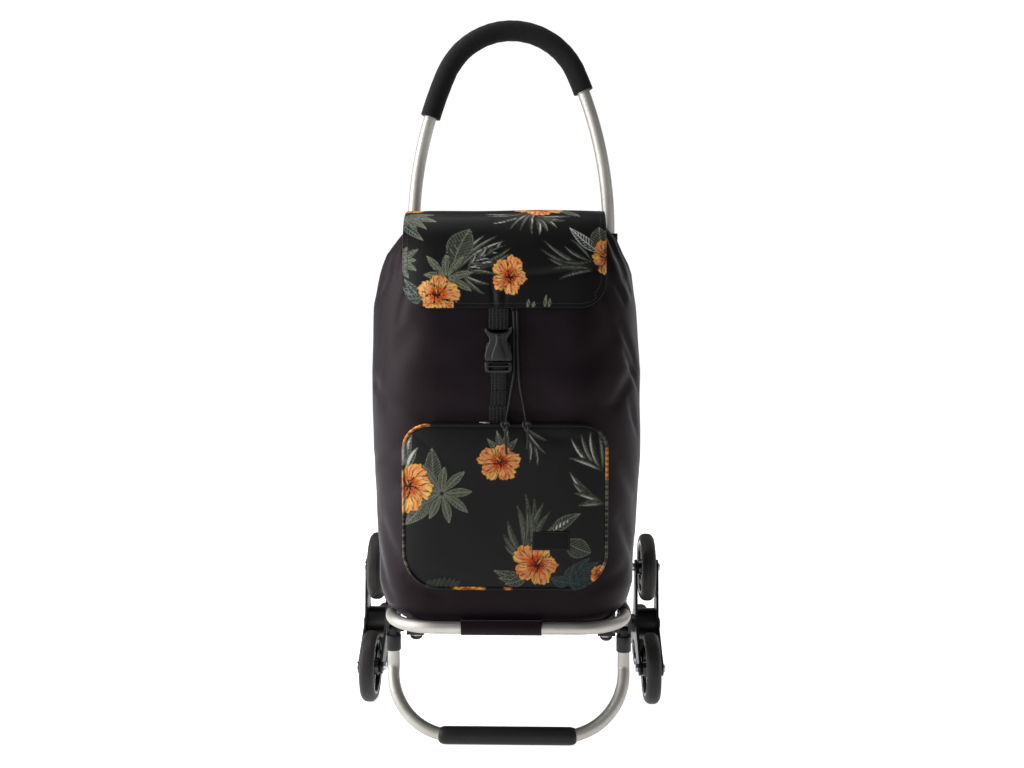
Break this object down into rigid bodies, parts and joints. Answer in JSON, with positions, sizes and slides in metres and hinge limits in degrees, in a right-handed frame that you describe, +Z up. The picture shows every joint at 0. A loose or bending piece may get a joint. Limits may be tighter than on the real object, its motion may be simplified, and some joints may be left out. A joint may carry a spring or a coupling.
{
  "type": "stair-climbing shopping trolley",
  "caption": "Upright shopping trolley with a flap bag on a folding tube frame, front stand and three-wheel stair climbers.",
  "frame": {"origin": "centre of the trolley's box, on the ground", "axes": "+Z up, -Y to the front where the bag, platform and stand are, +X to the right seen from the front"},
  "size_m": [0.4582, 0.4137, 0.9929],
  "materials": {
    "satin_aluminium": "satin anodised",
    "zinc_steel": "zinc plated",
    "black_nylon": "fine moulded texture",
    "foam": "closed-cell foam skin",
    "tread_rubber": "ribbed, dull",
    "foot_rubber": "smooth, semi-matte",
    "bag_fabric": "satin black polyester",
    "printed_fabric": "black polyester with a leaf and flower print",
    "webbing": "woven polypropylene tape",
    "cord": "braided cord",
    "fibre_board": "plain hardboard"
  },
  "bodies": {
    "frame": {"upright_left": "satin_aluminium", "upright_right": "satin_aluminium", "upright_plug_left": "black_nylon", "upright_plug_right": "black_nylon", "rear_bracket_left": "black_nylon", "rear_bracket_right": "black_nylon", "axle": "zinc_steel", "axle_cap_left": "black_nylon", "axle_cap_right": "black_nylon", "rear_crossbar": "satin_aluminium", "handle_socket_left": "black_nylon", "handle_socket_right": "black_nylon", "handle_pin_left": "zinc_steel", "handle_pin_right": "zinc_steel", "bag_body": "bag_fabric", "front_pocket": "printed_fabric", "lower_strap": "webbing", "buckle_prongs": "black_nylon", "drawstring_left": "cord", "drawstring_right": "cord"},
    "handle": {"handle_loop": "satin_aluminium", "foam_grip": "foam", "handle_knuckle_left": "black_nylon", "handle_knuckle_right": "black_nylon"},
    "lock_button_left": {"handle_lock_button_left": "black_nylon"},
    "lock_button_right": {"handle_lock_button_right": "black_nylon"},
    "platform": {"platform_loop": "satin_aluminium", "platform_hinge_left": "black_nylon", "platform_hinge_right": "black_nylon", "stand_bracket_left": "black_nylon", "stand_bracket_right": "black_nylon", "platform_strap": "bag_fabric", "bag_base_board": "fibre_board"},
    "stand": {"stand_loop": "satin_aluminium", "stand_sleeve_left": "black_nylon", "stand_sleeve_right": "black_nylon", "foot_pad": "foot_rubber"},
    "flap": {"flap": "printed_fabric", "upper_strap": "webbing", "buckle_socket": "black_nylon"},
    "spider_left": {"spider_left": "black_nylon", "wheel_bolt_left_top": "zinc_steel", "wheel_bolt_left_front": "zinc_steel", "wheel_bolt_left_rear": "zinc_steel"},
    "wheel_left_top": {"tyre_left_top": "tread_rubber", "wheel_left_top": "black_nylon"},
    "wheel_left_front": {"tyre_left_front": "tread_rubber", "wheel_left_front": "black_nylon"},
    "wheel_left_rear": {"tyre_left_rear": "tread_rubber", "wheel_left_rear": "black_nylon"},
    "spider_right": {"spider_right": "black_nylon", "wheel_bolt_right_top": "zinc_steel", "wheel_bolt_right_front": "zinc_steel", "wheel_bolt_right_rear": "zinc_steel"},
    "wheel_right_top": {"tyre_right_top": "tread_rubber", "wheel_right_top": "black_nylon"},
    "wheel_right_front": {"tyre_right_front": "tread_rubber", "wheel_right_front": "black_nylon"},
    "wheel_right_rear": {"tyre_right_rear": "tread_rubber", "wheel_right_rear": "black_nylon"}
  },
  "joints": [
    {"name": "handle_fold", "type": "hinge", "parent": "frame", "child": "handle", "pos_m": [0, 0.0533, 0.645], "axis": [-1, 0, 0], "range_deg": [0, 175]},
    {"name": "lock_press_left", "type": "slide", "parent": "frame", "child": "lock_button_left", "axis": [1, 0, 0], "range_m": [0, 0.003], "stiffness_N_per_m": 400, "springref_m": -0.002},
    {"name": "lock_press_right", "type": "slide", "parent": "frame", "child": "lock_button_right", "axis": [-1, 0, 0], "range_m": [0, 0.003], "stiffness_N_per_m": 400, "springref_m": -0.002},
    {"name": "platform_fold", "type": "hinge", "parent": "frame", "child": "platform", "pos_m": [0, -0.0167, 0.168], "axis": [-1, 0, 0], "range_deg": [0, 90], "deforming": ["bag_body", "front_pocket", "lower_strap", "buckle_prongs", "drawstring_left", "drawstring_right"]},
    {"name": "stand_fold", "type": "hinge", "parent": "platform", "child": "stand", "pos_m": [0, -0.1137, 0.142], "axis": [1, 0, 0], "range_deg": [0, 88]},
    {"name": "flap_hinge", "type": "hinge", "parent": "frame", "child": "flap", "pos_m": [0, 0.0073, 0.701], "axis": [-1, 0, 0], "range_deg": [0, 85]},
    {"name": "spider_spin_left", "type": "hinge", "parent": "frame", "child": "spider_left", "pos_m": [-0.2065, 0.0773, 0.095], "axis": [1, 0, 0], "continuous": true},
    {"name": "wheel_spin_left_top", "type": "hinge", "parent": "spider_left", "child": "wheel_left_top", "pos_m": [-0.2065, 0.0773, 0.183], "axis": [1, 0, 0], "continuous": true},
    {"name": "wheel_spin_left_front", "type": "hinge", "parent": "spider_left", "child": "wheel_left_front", "pos_m": [-0.2065, 0.00109, 0.051], "axis": [1, 0, 0], "continuous": true},
    {"name": "wheel_spin_left_rear", "type": "hinge", "parent": "spider_left", "child": "wheel_left_rear", "pos_m": [-0.2065, 0.15351, 0.051], "axis": [1, 0, 0], "continuous": true},
    {"name": "spider_spin_right", "type": "hinge", "parent": "frame", "child": "spider_right", "pos_m": [0.2065, 0.0773, 0.095], "axis": [1, 0, 0], "continuous": true},
    {"name": "wheel_spin_right_top", "type": "hinge", "parent": "spider_right", "child": "wheel_right_top", "pos_m": [0.2065, 0.0773, 0.183], "axis": [1, 0, 0], "continuous": true},
    {"name": "wheel_spin_right_front", "type": "hinge", "parent": "spider_right", "child": "wheel_right_front", "pos_m": [0.2065, 0.00109, 0.051], "axis": [1, 0, 0], "continuous": true},
    {"name": "wheel_spin_right_rear", "type": "hinge", "parent": "spider_right", "child": "wheel_right_rear", "pos_m": [0.2065, 0.15351, 0.051], "axis": [1, 0, 0], "continuous": true}
  ]
}
